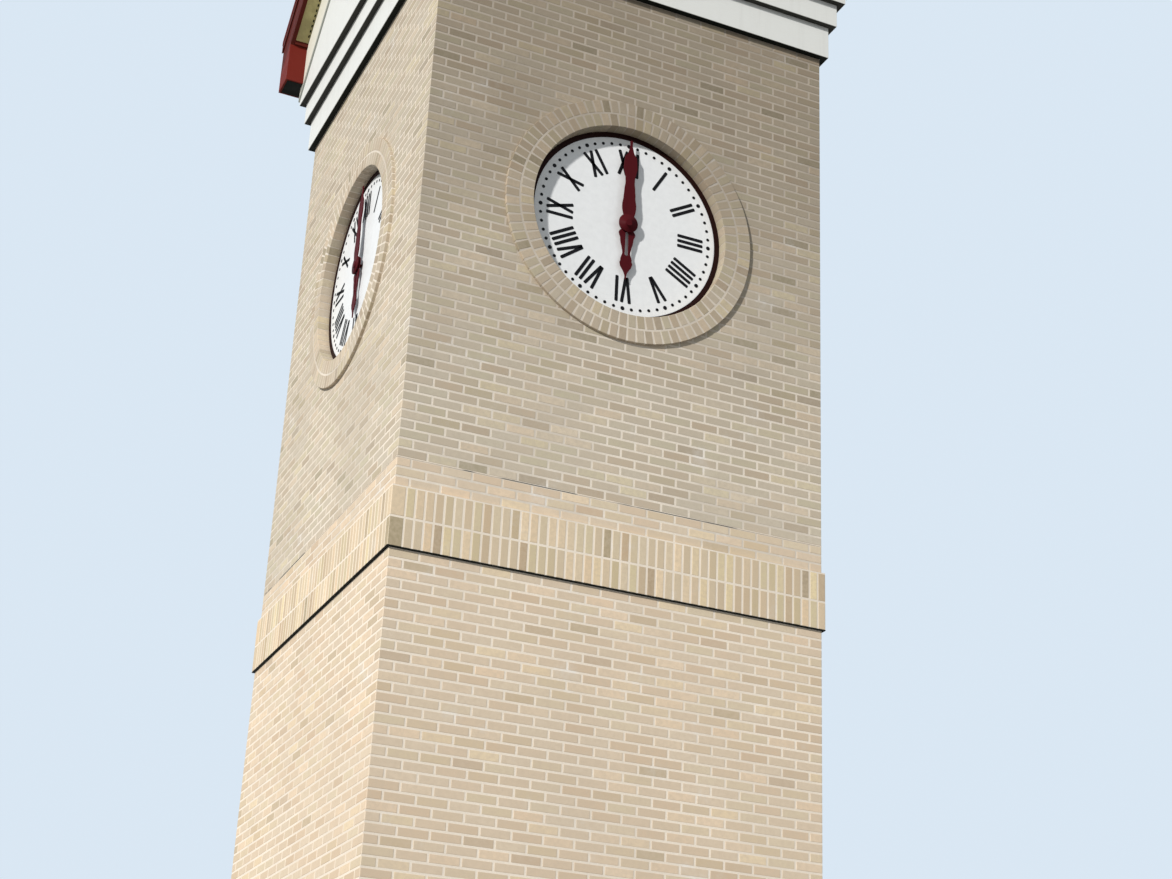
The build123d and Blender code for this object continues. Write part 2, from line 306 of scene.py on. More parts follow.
class NodeFinish:
    """A material built node by node on Object coordinates."""

    def __init__(self, name):
        self.material = bpy.data.materials.new(name)
        self.material.use_nodes = True
        self.tree = self.material.node_tree
        self.shader = self.tree.nodes["Principled BSDF"]
        self.place = self.node("ShaderNodeTexCoord").outputs["Object"]

    def node(self, kind, **values):
        """A new node with some of its values set."""
        made = self.tree.nodes.new(kind)
        for key, value in values.items():
            setattr(made, key, value)
        return made

    def link(self, source, target):
        """Joins an output to an input."""
        self.tree.links.new(source, target)

    def stretched(self, scale):
        """The place on the object, scaled along each axis."""
        mapping = self.node("ShaderNodeMapping")
        self.link(self.place, mapping.inputs["Vector"])
        mapping.inputs["Scale"].default_value = scale
        return mapping.outputs["Vector"]

    def noise(self, scale, detail=4.0, roughness=0.55, where=None):
        """Cloudy noise, so many lumps to the metre."""
        made = self.node("ShaderNodeTexNoise")
        self.link(where or self.place, made.inputs["Vector"])
        made.inputs["Scale"].default_value = scale
        made.inputs["Detail"].default_value = detail
        made.inputs["Roughness"].default_value = roughness
        return made.outputs["Fac"]

    def band(self, source, low, high, out_low=0.0, out_high=1.0):
        """Eases from one value to another while the source goes from low to high."""
        made = self.node("ShaderNodeMapRange", interpolation_type="SMOOTHSTEP")
        self.link(source, made.inputs["Value"])
        limits = {"From Min": low, "From Max": high, "To Min": out_low, "To Max": out_high}
        for key, value in limits.items():
            made.inputs[key].default_value = value
        return made.outputs["Result"]

    def ramp(self, source, stops):
        """Colours at stops along the source, and mixed between them."""
        made = self.node("ShaderNodeValToRGB")
        elements = made.color_ramp.elements
        while len(elements) < len(stops):
            elements.new(0.5)
        for element, (at, colour) in zip(elements, stops):
            element.position = at
            element.color = (*colour, 1.0)
        self.link(source, made.inputs["Fac"])
        return made.outputs["Color"]

    def mix(self, factor, first, second, blend="MIX"):
        """Two colours mixed; a factor or a colour may be a value or a socket."""
        made = self.node("ShaderNodeMix", data_type="RGBA", blend_type=blend)
        sockets = (made.inputs[0], made.inputs[6], made.inputs[7])
        for socket, value in zip(sockets, (factor, first, second)):
            if isinstance(value, bpy.types.NodeSocket):
                self.link(value, socket)
            elif isinstance(value, (int, float)):
                socket.default_value = value
            else:
                socket.default_value = (*value, 1.0)
        return made.outputs[2]

    def bump(self, height, strength, distance, normal=None):
        """Relief from a height, on top of another relief where one is given."""
        made = self.node("ShaderNodeBump")
        self.link(height, made.inputs["Height"])
        made.inputs["Strength"].default_value = strength
        made.inputs["Distance"].default_value = distance
        if normal is not None:
            self.link(normal, made.inputs["Normal"])
        return made.outputs["Normal"]

    def math(self, operation, first, second=0.0):
        """A sum of a socket with a value or another socket."""
        made = self.node("ShaderNodeMath", operation=operation)
        self.link(first, made.inputs[0])
        if isinstance(second, bpy.types.NodeSocket):
            self.link(second, made.inputs[1])
        else:
            made.inputs[1].default_value = second
        return made.outputs[0]

    def grimed_and_shaded(self, colour, grime_and_shade, side_share):
        """Darkens a wall little by little up to the cornice, and less so on the left and right: partly
        grime, partly painted shade.
        """
        split = self.node("ShaderNodeSeparateXYZ")
        self.link(self.place, split.inputs[0])
        ragged = self.math("MULTIPLY", self.noise(0.7), GRIME_AND_SHADE_WANDER)
        ragged = self.math("ADD", ragged, split.outputs["Z"])
        climb = self.band(ragged, BELT_HIGH + GRIME_AND_SHADE_START, CORNICE_LOW + GRIME_AND_SHADE_END)
        across, along = (self.math("ABSOLUTE", split.outputs[axis]) for axis in "XY")
        share = self.band(self.math("SUBTRACT", across, along), -MM, MM, 1.0, side_share)
        climb = self.math("MULTIPLY", climb, share)
        return self.mix(climb, colour, self.mix(1.0, colour, grime_and_shade, "MULTIPLY"))

    def finish(self, colour, roughness, normal=None, specular=0.5):
        """Joins colour, roughness and relief to the shader and gives the material."""
        self.link(colour, self.shader.inputs["Base Color"])
        if isinstance(roughness, bpy.types.NodeSocket):
            self.link(roughness, self.shader.inputs["Roughness"])
        else:
            self.shader.inputs["Roughness"].default_value = roughness
        if normal is not None:
            self.link(normal, self.shader.inputs["Normal"])
        self.shader.inputs["Specular IOR Level"].default_value = specular
        return self.material


def scaled(colour, factor, warm=0.0):
    """A lighter, darker, warmer or cooler version of a colour."""
    shift = (1 + warm, 1.0, 1 - warm)
    return tuple(min(1.0, c * factor * s) for c, s in zip(colour, shift))


def brick_finish(name, base, contrast, warm, grime_and_shade=None):
    """Fired clay with a tone for each brick, mottling, fine grit, pale bloom, and grime with painted
    shade towards the cornice.
    """
    f = NodeFinish(name)
    tone = f.node("ShaderNodeAttribute", attribute_name="brick_tone").outputs["Fac"]
    stops = (
        (0.0, scaled(base, 1 - 0.46 * contrast, warm + 0.02)),
        (0.16, scaled(base, 1 - 0.24 * contrast, warm + 0.05)),
        (0.40, scaled(base, 1 - 0.06 * contrast, warm)),
        (0.62, scaled(base, 1 + 0.05 * contrast, warm - 0.03)),
        (0.84, scaled(base, 1 + 0.16 * contrast, warm + 0.03)),
        (1.0, scaled(base, 1 + 0.28 * contrast, warm + 0.01)),
    )
    clay = f.ramp(tone, stops)
    kiln = f.math("FRACT", f.math("MULTIPLY", tone, 37.0))
    pink = f.mix(1.0, clay, (1.0, 0.95, 0.91), "MULTIPLY")
    clay = f.mix(f.band(kiln, 0.55, 1.0, 0.0, contrast), clay, pink)
    olive = f.mix(1.0, clay, (0.95, 0.98, 0.86), "MULTIPLY")
    clay = f.mix(f.band(kiln, 0.0, 0.45, contrast, 0.0), clay, olive)
    mottle = f.band(f.noise(38.0, 5.0), 0.30, 0.72)
    clay = f.mix(mottle, clay, f.mix(0.5, clay, scaled(base, 0.88, warm)))
    grit = f.band(f.noise(620.0, 2.0), 0.62, 0.70)
    clay = f.mix(grit, clay, f.mix(0.5, clay, scaled(base, 0.45)))
    stain = f.band(f.noise(0.9, 3.0, where=f.stretched((1.0, 1.0, 0.45))), 0.42, 0.70, 0.0, 0.22)
    clay = f.mix(stain, clay, scaled(base, 0.80, -0.02))
    bloom = f.band(f.noise(2.6, 6.0, 0.7), 0.58, 0.74, 0.0, 0.30)
    clay = f.mix(bloom, clay, (0.76, 0.73, 0.68))
    # Darkening towards the cornice: partly grime, partly painted shade
    if grime_and_shade:
        clay = f.grimed_and_shaded(clay, *grime_and_shade)
    rough = f.band(f.noise(90.0, 3.0), 0.2, 0.8, 0.80, 0.95)
    coarse = f.bump(f.noise(55.0, 6.0, 0.62), 0.35, 0.0022)
    return f.finish(clay, rough, f.bump(f.noise(420.0, 3.0), 0.4, 0.0007, coarse))


def mortar_finish(name, base, soot, grime_and_shade=None):
    """Pale sandy mortar with darker weathered runs, and sooty patches as dark as the bricks."""
    f = NodeFinish(name)
    grains = ((0.30, scaled(base, 0.86)), (0.55, base), (0.75, scaled(base, 1.06)))
    sand = f.ramp(f.noise(240.0, 3.0), grains)
    weather = f.band(f.noise(1.4, 5.0, where=f.stretched((1.0, 1.0, 0.5))), 0.45, 0.75, 0.0, 0.35)
    sand = f.mix(weather, sand, scaled(base, 0.78, -0.01))
    sooty = f.band(f.noise(0.8, 5.0, 0.6), 0.44, 0.60, 0.0, soot)
    sand = f.mix(sooty, sand, scaled(base, 0.72, 0.01))
    bloom = f.band(f.noise(2.6, 6.0, 0.7), 0.56, 0.72, 0.0, 0.6)
    sand = f.mix(bloom, sand, (0.90, 0.88, 0.84))
    # Darkening towards the cornice: partly grime, partly painted shade
    if grime_and_shade:
        sand = f.grimed_and_shaded(sand, *grime_and_shade)
    return f.finish(sand, 0.93, f.bump(f.noise(300.0, 4.0), 0.5, 0.0010))


def paint_finish(name, base, dirt=0.20, rough=(0.42, 0.60), grain=(3.0, 3.0, 120.0), specular=0.30):
    """Brushed paint on boards: faint brush grain, rain streaks and grime in the lee."""
    f = NodeFinish(name)
    brush = f.noise(6.0, 4.0, where=f.stretched(grain))
    colour = f.ramp(brush, ((0.25, scaled(base, 0.95)), (0.60, base), (0.85, scaled(base, 1.02))))
    streak = f.band(f.noise(3.0, 5.0, 0.6, where=f.stretched((6.0, 6.0, 0.35))), 0.50, 0.78, 0.0, dirt)
    colour = f.mix(streak, colour, scaled(base, 0.70, 0.02))
    cloud = f.band(f.noise(1.1, 4.0), 0.40, 0.75, 0.0, dirt * 0.7)
    colour = f.mix(cloud, colour, scaled(base, 0.82, 0.01))
    roughness = f.band(f.noise(14.0, 4.0), 0.25, 0.75, *rough)
    normal = f.bump(brush, 0.10, 0.0012, f.bump(f.noise(180.0, 3.0), 0.06, 0.0006))
    return f.finish(colour, roughness, normal, specular)


def metal_finish(name, base, fade=0.22, rough=(0.50, 0.68), specular=0.10):
    """Factory painted sheet metal, chalked by the sun and a little oil-canned."""
    f = NodeFinish(name)
    chalk = f.band(f.noise(2.2, 5.0, 0.6), 0.35, 0.75, 0.0, fade)
    pale = tuple(c * 0.9 + 0.012 for c in base)
    colour = f.mix(chalk, base, pale)
    run = f.band(f.noise(4.0, 5.0, where=f.stretched((5.0, 5.0, 0.4))), 0.52, 0.80, 0.0, 0.45)
    colour = f.mix(run, colour, scaled(base, 0.62))
    speck = f.band(f.noise(260.0, 2.0), 0.64, 0.72, 0.0, 0.5)
    colour = f.mix(speck, colour, scaled(base, 0.7))
    roughness = f.band(f.noise(9.0, 4.0), 0.25, 0.75, *rough)
    normal = f.bump(f.noise(1.8, 2.0), 0.12, 0.006, f.bump(f.noise(240.0, 2.0), 0.05, 0.0005))
    return f.finish(colour, roughness, normal, specular)


def soffit_finish(name, base):
    """Olive board soffit with fine grooves and dust."""
    f = NodeFinish(name)
    dust = f.band(f.noise(7.0, 5.0, 0.62), 0.35, 0.72)
    colour = f.ramp(dust, ((0.0, scaled(base, 0.78)), (0.5, base), (1.0, scaled(base, 1.30, -0.02))))
    spots = f.band(f.noise(70.0, 3.0), 0.62, 0.70, 0.0, 0.5)
    colour = f.mix(spots, colour, scaled(base, 0.55))
    normal = f.bump(f.noise(110.0, 4.0), 0.3, 0.001)
    return f.finish(colour, 0.78, normal)


def flashing_finish(name, dark, mortar):
    """A dark lip that shows here and there and is smeared with mortar elsewhere."""
    f = NodeFinish(name)
    bare = f.band(f.noise(1.7, 3.0), 0.50, 0.56)
    return f.finish(f.mix(bare, mortar, dark), 0.8, f.bump(f.noise(120.0), 0.3, 0.001))


def all_finishes(scene):
    """Every finish of the tower, by its name."""
    bricks, dials, trim = scene.tower_brickwork, scene.tower_dials, scene.tower_trim
    # Darkening of the stage towards the cornice, partly grime and partly painted shade, weaker on the
    # left and right
    grime_and_shade = (tuple(bricks.grime_and_shade), bricks.side_grime_and_shade)
    ring, stage_mortar = scaled(bricks.stage, 0.98, 0.01), scaled(bricks.mortar, 0.96, -0.01)
    hands = {"fade": 0.05, "rough": (0.48, 0.60), "specular": 0.05}
    recipes = {
        "shaft_brick": (brick_finish, bricks.shaft, {"contrast": 0.50, "warm": 0.01}),
        "stage_brick": (brick_finish, bricks.stage, {"contrast": 0.70, "warm": 0.0, "grime_and_shade": grime_and_shade}),
        "belt_brick": (brick_finish, bricks.belt, {"contrast": 0.95, "warm": 0.01}),
        "ring_brick": (brick_finish, ring, {"contrast": 0.75, "warm": 0.01, "grime_and_shade": grime_and_shade}),
        "mortar": (mortar_finish, bricks.mortar, {"soot": 0.35}),
        "stage_mortar": (mortar_finish, stage_mortar, {"soot": 0.80, "grime_and_shade": grime_and_shade}),
        "white_paint": (paint_finish, trim.white, {}),
        "cream_paint": (paint_finish, trim.cream, {}),
        # Painted shade under the raking boards
        "grey_bead": (paint_finish, trim.bead, {"dirt": 0.35}),
        "olive_paint": (soffit_finish, trim.olive, {}),
        "red_metal": (metal_finish, trim.red, {}),
        "brown_metal": (metal_finish, trim.brown, {"specular": 0.05}),
        "roof_metal": (metal_finish, scaled(trim.red, 0.85), {"fade": 0.35}),
        "flashing": (flashing_finish, trim.dark, {"mortar": tuple(bricks.mortar)}),
        # Dark metal of the drip edge, also used as painted shade
        "dark_metal": (metal_finish, trim.dark, {"fade": 0.05, "rough": (0.6, 0.8), "specular": 0.08}),
        # Painted shade under the cornice bands
        "dark_underside": (
            paint_finish, trim.shade, {"dirt": 0.30, "rough": (0.6, 0.8), "specular": 0.08}
        ),
        "dial_enamel": (
            paint_finish, dials.enamel, {"dirt": 0.03, "rough": (0.30, 0.42), "grain": (4.0, 4.0, 4.0)}
        ),
        "burgundy": (metal_finish, dials.burgundy, hands),
        "rim_red": (metal_finish, dials.rim, hands),
        "mark_black": (metal_finish, dials.black, {"fade": 0.02, "rough": (0.5, 0.65)}),
    }
    return {name: make(name, tuple(base), **looks) for name, (make, base, looks) in recipes.items()}


FINISHES = {}


# Mesh helpers


def dress(node, finish):
    """Gives a CAD node a finish through its object's material slot."""
    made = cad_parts[node]
    if not made.material_slots:
        made.data.materials.append(FINISHES[finish])
    made.material_slots[0].material = FINISHES[finish]


def piece(name, bm, finish, slot, body=BODY, replaces=(), smooth_angle=None):
    """Makes a finished mesh an object of the tower, at the origin, riding on its body."""
    mesh = bpy.data.meshes.new(name)
    bm.to_mesh(mesh)
    bm.free()
    mesh.materials.append(FINISHES[finish])
    made = bpy.data.objects.new(name, mesh)
    bpy.context.scene.collection.objects.link(made)
    if smooth_angle is not None:
        mesh.shade_smooth()
        mesh.set_sharp_from_angle(angle=math.radians(smooth_angle))
    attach(made, body)
    if replaces:
        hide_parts(*replaces)
    return made


def cad_copy(node):
    """A merged copy of a CAD node's mesh, which itself is left alone."""
    bm = bmesh.new()
    bm.from_mesh(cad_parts[node].data)
    bmesh.ops.remove_doubles(bm, verts=bm.verts, dist=MERGED)
    return bm


def bar(bm, low, high, at=Matrix.Identity(4)):
    """A box between two corners, placed by a matrix."""
    low, high = Vector(low), Vector(high)
    size = Matrix.Diagonal((*(high - low), 1.0))
    place = at @ Matrix.Translation((low + high) / 2) @ size
    return bmesh.ops.create_cube(bm, size=1.0, matrix=place)["verts"]


def ease(bm, edges, width, segments=2):
    """Rounds some edges off."""
    bmesh.ops.bevel(
        bm, geom=edges, offset=width, segments=segments, affect="EDGES", profile=0.5, material=-1
    )


def cut(bm, point, normal, cleared):
    """Cuts a solid with a plane, clears the named side and closes what is left."""
    bmesh.ops.bisect_plane(
        bm, geom=bm.verts[:] + bm.edges[:] + bm.faces[:], dist=ON_PLANE,
        plane_co=point, plane_no=normal, **{cleared: True},
    )
    bmesh.ops.holes_fill(bm, edges=bm.edges, sides=0)


def mitre(bm):
    """Cuts a front piece on both diagonals of the plan."""
    for across in (1, -1):
        cut(bm, (0, 0, 0), (across, 1, 0), "clear_outer")


def extruded(bm, corners, reach):
    """A solid from a flat outline that is drawn out along a vector."""
    face = bm.faces.new([bm.verts.new(corner) for corner in corners])
    grown = bmesh.ops.extrude_face_region(bm, geom=[face])["geom"]
    moved = [v for v in grown if isinstance(v, bmesh.types.BMVert)]
    bmesh.ops.translate(bm, vec=reach, verts=moved)


def chevron(bm, half, apex, foot, front, back):
    """A strip along both slopes of the front gable, between two levels at the ridge."""
    fall = ROOF_SLOPE * half
    outline = (
        (-half, apex - fall), (0, apex), (half, apex - fall),
        (half, foot - fall), (0, foot), (-half, foot - fall),
    )
    extruded(bm, [(x, -front, z) for x, z in outline], (0, front - back, 0))


def clock_ring(inner, outer, face, back):
    """A round ring about the front clock, between two radii and two distances from the axis."""
    bm = bmesh.new()
    outline = ((-face, inner), (-face, outer), (-back, outer), (-back, inner))
    corners = [bm.verts.new((0, y, z)) for y, z in outline]
    edges = [bm.edges.new((corners[n - 1], corners[n])) for n in range(len(corners))]
    bmesh.ops.spin(
        bm, geom=corners + edges, cent=(0, 0, 0), axis=(0, 1, 0),
        angle=2 * math.pi, steps=128, use_merge=True, use_duplicate=False,
    )
    bmesh.ops.translate(bm, vec=(0, 0, CLOCK_Z), verts=bm.verts)
    return bm


def square_ring(half, low, high, depth):
    """Four bars round the tower, between two levels, that run back by a depth from a half width."""
    bm = bmesh.new()
    end = half - depth
    for side in SIDES:
        bar(bm, (-half, -half, low), (end, -end, high), turned(side))
    return bm


def mortar_core(node, half, recess):
    """A copy of a CAD node that is drawn in on all sides, so that its bricks stand off it."""
    core = cad_copy(node)
    share = (half - recess) / half
    bmesh.ops.scale(core, vec=(share, share, 1.0), verts=core.verts)
    return core


def turned_piece(name, bm, side, finish, slot, **riding):
    """Makes a piece of a mesh that was built on the front, faced outward and turned to its side."""
    bmesh.ops.recalc_face_normals(bm, faces=bm.faces)
    bmesh.ops.transform(bm, matrix=turned(side), verts=bm.verts)
    return piece(name, bm, finish, slot, **riding)


# Standard deviation of the tones of the bricks, which run from nought to one
TONE_SPREAD = 0.24


class BrickLayer:
    """Collects bricks with a tone each, and wears the edges of their visible faces."""

    def __init__(self, bricks, key):
        self.bm = bmesh.new()
        self.tone = self.bm.faces.layers.float.new("brick_tone")
        self.random = random.Random(f"{bricks.seed}-{key}")
        self.arris = bricks.arris
        self.seen = []

    def lay(self, low, high, outward, at=Matrix.Identity(4)):
        """One brick whose faces towards the outward directions show."""
        tone = min(1.0, max(0.0, self.random.gauss(0.5, TONE_SPREAD)))
        verts = bar(self.bm, low, high, at)
        turn = at.to_3x3()
        shown = [turn @ Vector(direction) for direction in outward]
        for face in dict.fromkeys(f for v in verts for f in v.link_faces):
            face[self.tone] = tone
            face.normal_update()
            if any(face.normal.dot(direction) > ALIGNED for direction in shown):
                self.seen.append(face)

    def done(self):
        """The mesh, with each visible face raised inside its worn edge."""
        bmesh.ops.inset_individual(
            self.bm, faces=self.seen, thickness=self.arris, depth=self.arris, use_even_offset=True
        )
        bmesh.ops.recalc_face_normals(self.bm, faces=self.bm.faces)
        return self.bm


def lay_running_bond(layer, bricks, side, low_course, high_course, base, start_row, keep=None):
    """Courses of stretchers on one side; full end bricks turn the corner, and the rows alternate."""
    at = turned(side)
    course = bricks.brick_length / bricks.courses_per_length
    module = bricks.brick_length + bricks.joint
    lap = bricks.mortar_lap
    half_joint = bricks.joint / 2 + lap
    face = WALL_HALF - layer.arris
    whole_bricks = round((2 * WALL_HALF + bricks.joint) / module)
    odd_side = SIDES.index(side) % 2
    for row in range(low_course, high_course):
        low = base + row * course + half_joint
        high = low + course - 2 * half_joint
        row_proud = layer.random.uniform(-bricks.unevenness, 0.0)
        turns_corner = (row + start_row + odd_side) % 2 == 0
        first = -WALL_HALF if turns_corner else -WALL_HALF + module / 2
        for n in range(whole_bricks if turns_corner else whole_bricks - 1):
            start = first + n * module
            end = start + bricks.brick_length
            if keep and not keep(start, end, low, high):
                continue
            corner_left = turns_corner and n == 0
            corner_right = turns_corner and n == whole_bricks - 1
            at_corner = corner_left or corner_right
            start += 0.0 if corner_left else lap
            end -= 0.0 if corner_right else lap
            depth = bricks.brick_width if at_corner else bricks.brick_inset
            outward = [(0, -1, 0)]
            if corner_left:
                outward.append((-1, 0, 0))
                start += layer.arris
            if corner_right:
                outward.append((1, 0, 0))
                end -= layer.arris
            proud = 0.0
            if not at_corner:
                proud = row_proud + layer.random.uniform(-bricks.unevenness, 0.0)
            layer.lay((start, -face - proud, low), (end, -WALL_HALF + depth, high), outward, at)


class TowerPiece:
    """What the operators share."""

    bl_options = {"REGISTER", "UNDO"}


class TOWER_OT_finishes(TowerPiece, bpy.types.Operator):
    """Mix the brick, mortar, paint and metal finishes"""

    bl_idname = "tower.finishes"
    bl_label = "Finishes"

    def execute(self, context):
        FINISHES.update(all_finishes(context.scene))
        return {"FINISHED"}


class TOWER_OT_brick_walls(TowerPiece, bpy.types.Operator):
    """Lay the running bond of the shaft and of the clock stage, with recessed mortar behind it"""

    bl_idname = "tower.brick_walls"
    bl_label = "Brick walls"

    def execute(self, context):
        bricks = context.scene.tower_brickwork
        course = bricks.brick_length / bricks.courses_per_length
        shaft_rows = round(BELT_LOW / course)
        stage_rows = round((CORNICE_LOW - BELT_HIGH) / course)
        warm = bricks.stretcher_courses

        def outside_ring(start, end, low, high):
            """True where a brick isn't wholly behind the brick rings round the dial."""
            reach = max(math.hypot(x, z - CLOCK_Z) for x in (start, end) for z in (low, high))
            return reach > RING_RADIUS - bricks.ring_cover

        zones = (
            ("shaft", "shaft_brick", 0, shaft_rows, 0.0, 0, None),
            ("stretchers", "shaft_brick", 0, warm, BELT_HIGH, 1, None),
            ("stage", "stage_brick", warm, stage_rows, BELT_HIGH, 1, outside_ring),
        )
        for zone, finish, low, high, base, start_row, keep in zones:
            for side in SIDES:
                layer = BrickLayer(bricks, f"{zone}-{side}")
                lay_running_bond(layer, bricks, side, low, high, base, start_row, keep)
                piece(f"bricks_{zone}_{side}", layer.done(), finish, "brick")
        for node, finish in (("lower_shaft", "mortar"), ("clock_stage", "stage_mortar")):
            core = mortar_core(node, WALL_HALF, bricks.joint_recess)
            piece(f"mortar_{node}", core, finish, "brick", replaces=(node,))
        return {"FINISHED"}


class TOWER_OT_soldier_belt(TowerPiece, bpy.types.Operator):
    """Stand the two courses of soldier bricks of the belt on its dark drip edge"""

    bl_idname = "tower.soldier_belt"
    bl_label = "Soldier belt"

    def soldiers(self, bricks, side, rows):
        """The rows of soldiers on one side, each with a brick that turns the corner."""
        room = 2 * BELT_HALF - bricks.brick_width - bricks.joint - bricks.brick_height
        number = round(room / (bricks.brick_height + bricks.joint))
        pitch = room / number
        width = pitch - bricks.joint - 2 * bricks.mortar_lap
        layer = BrickLayer(bricks, f"belt-{side}")
        face = BELT_HALF - layer.arris
        corner_end = -BELT_HALF + bricks.brick_width
        for low, high in rows:
            layer.lay(
                (-BELT_HALF + layer.arris, -face, low),
                (corner_end, -BELT_HALF + bricks.brick_height, high),
                [(0, -1, 0), (-1, 0, 0)],
                turned(side),
            )
            for n in range(number):
                set_back = layer.random.uniform(0.0, bricks.soldier_unevenness)
                start = corner_end + bricks.joint + n * pitch + bricks.mortar_lap
                layer.lay(
                    (start, -face + set_back, low),
                    (start + width, -BELT_HALF + bricks.brick_inset, high),
                    [(0, -1, 0)],
                    turned(side),
                )
        return layer.done()

    def execute(self, context):
        bricks = context.scene.tower_brickwork
        recess = bricks.joint_recess
        module = bricks.brick_length + bricks.joint
        drip_top = BELT_LOW + bricks.drip_edge
        rows = (
            (drip_top, BELT_LOW + bricks.brick_length - bricks.mortar_lap),
            (BELT_LOW + module + bricks.mortar_lap, BELT_LOW + module + bricks.brick_length),
        )
        for side in SIDES:
            piece(f"soldiers_{side}", self.soldiers(bricks, side, rows), "belt_brick", "brick")
        core = mortar_core("soldier_belt", BELT_HALF, recess)
        piece("mortar_soldier_belt", core, "mortar", "brick", replaces=("soldier_belt",))
        top = BELT_HIGH + bricks.stretcher_courses * bricks.brick_length / bricks.courses_per_length
        lip = bricks.flashing_lip
        line = square_ring(WALL_HALF + lip, top - lip, top + lip, lip + bricks.flashing_depth)
        piece("flashing_line", line, "flashing", "dark_metal")
        drip = square_ring(BELT_HALF, BELT_LOW, drip_top, bricks.drip_depth)
        piece("drip_edge", drip, "dark_metal", "dark_metal", replaces=("belt_drip",))
        bed = square_ring(BELT_HALF - recess, drip_top, DRIP_TOP, bricks.drip_depth)
        piece("mortar_drip_bed", bed, "mortar", "brick")
        return {"FINISHED"}


class TOWER_OT_dial_surrounds(TowerPiece, bpy.types.Operator):
    """Set the two rings of header bricks round each dial"""

    bl_idname = "tower.dial_surrounds"
    bl_label = "Dial surrounds"

    def execute(self, context):
        bricks = context.scene.tower_brickwork
        header = bricks.header_length
        rings = (
            (bricks.inner_headers, DIAL_RADIUS, DIAL_RADIUS + header, RING_BACK),
            (bricks.outer_headers, RING_RADIUS - header, RING_RADIUS, WALL_HALF - bricks.ring_bed),
        )
        half = bricks.brick_height / 2
        recess = bricks.joint_recess
        for side in SIDES:
            layer = BrickLayer(bricks, f"ring-{side}")
            for number, inner, outer, back in rings:
                for n in range(number):
                    spin = Matrix.Rotation(2 * math.pi * (n + 0.5) / number, 4, "Y")
                    at = turned(side) @ Matrix.Translation((0, 0, CLOCK_Z)) @ spin
                    proud = layer.random.uniform(-bricks.ring_unevenness, 0.0)
                    low = (-half, -RING_FACE + layer.arris - proud, inner)
                    layer.lay(low, (half, -back, outer), [(0, -1, 0)], at)
            piece(f"ring_bricks_{side}", layer.done(), "ring_brick", "brick")
            core = clock_ring(
                DIAL_RADIUS + recess, RING_RADIUS - recess, RING_FACE - recess, RING_BACK
            )
            turned_piece(
                f"ring_mortar_{side}", core, side, "stage_mortar", "brick",
                replaces=(f"surround_{side}",), smooth_angle=30,
            )
        return {"FINISHED"}


NUMERALS = ("XII", "I", "II", "III", "IIII", "V", "VI", "VII", "VIII", "IX", "X", "XI")

# Shares of a stroke: how round its ends are, and how far apart the two feet of a V stand
STROKE_ROUNDING = 0.6
FOOT_GAP = 0.18

# Share of a hand's width that is seen, at each reach from its arbor
HAND_SHAPES = {
    "minute_hand": (
        (0.074, 1.0), (0.160, 1.0), (0.200, 0.97), (0.250, 1.18), (0.300, 1.40), (0.350, 1.28),
        (0.400, 1.0), (0.450, 0.86), (0.500, 0.71), (0.530, 0.71), (0.560, 0.83), (0.590, 0.66),
        (0.620, 0.80), (0.691, 1.20),
    ),
    "hour_hand": (
        (0.066, 1.0), (0.120, 0.76), (0.170, 0.88), (0.200, 0.86), (0.250, 0.58), (0.300, 0.63),
        (0.330, 0.87), (0.360, 1.12), (0.446, 1.20),
    ),
}

# The slot of the hour hand, with a hair to spare, and the share of its width that is seen
SLOT_REACH = 0.263
SLOT_HALF_WIDTH = 0.018 + HAIR
SLOT_SHARE = 0.75


def seen_share(stations, reach):
    """The share of the width at this reach, eased from one station to the next."""
    for (start, share), (end, next_share) in zip(stations, stations[1:]):
        if start < reach <= end:
            part = (reach - start) / (end - start)
            return share + (next_share - share) * part * part * (3 - 2 * part)
    return 1.0


def shaped_hand(hand, side):
    """A copy of a hand, on the front, with its blade drawn in or out as in the photograph."""
    bm = cad_copy(f"{hand}_{side}")
    bmesh.ops.transform(bm, matrix=turned(side).inverted(), verts=bm.verts)
    stations = HAND_SHAPES[hand]
    hub = stations[0][0]
    for vert in bm.verts:
        reach = abs(vert.co.z - CLOCK_Z)
        if hub < reach < SLOT_REACH and abs(vert.co.x) < SLOT_HALF_WIDTH:
            vert.co.x *= SLOT_SHARE
        else:
            vert.co.x *= seen_share(stations, reach)
    return bm


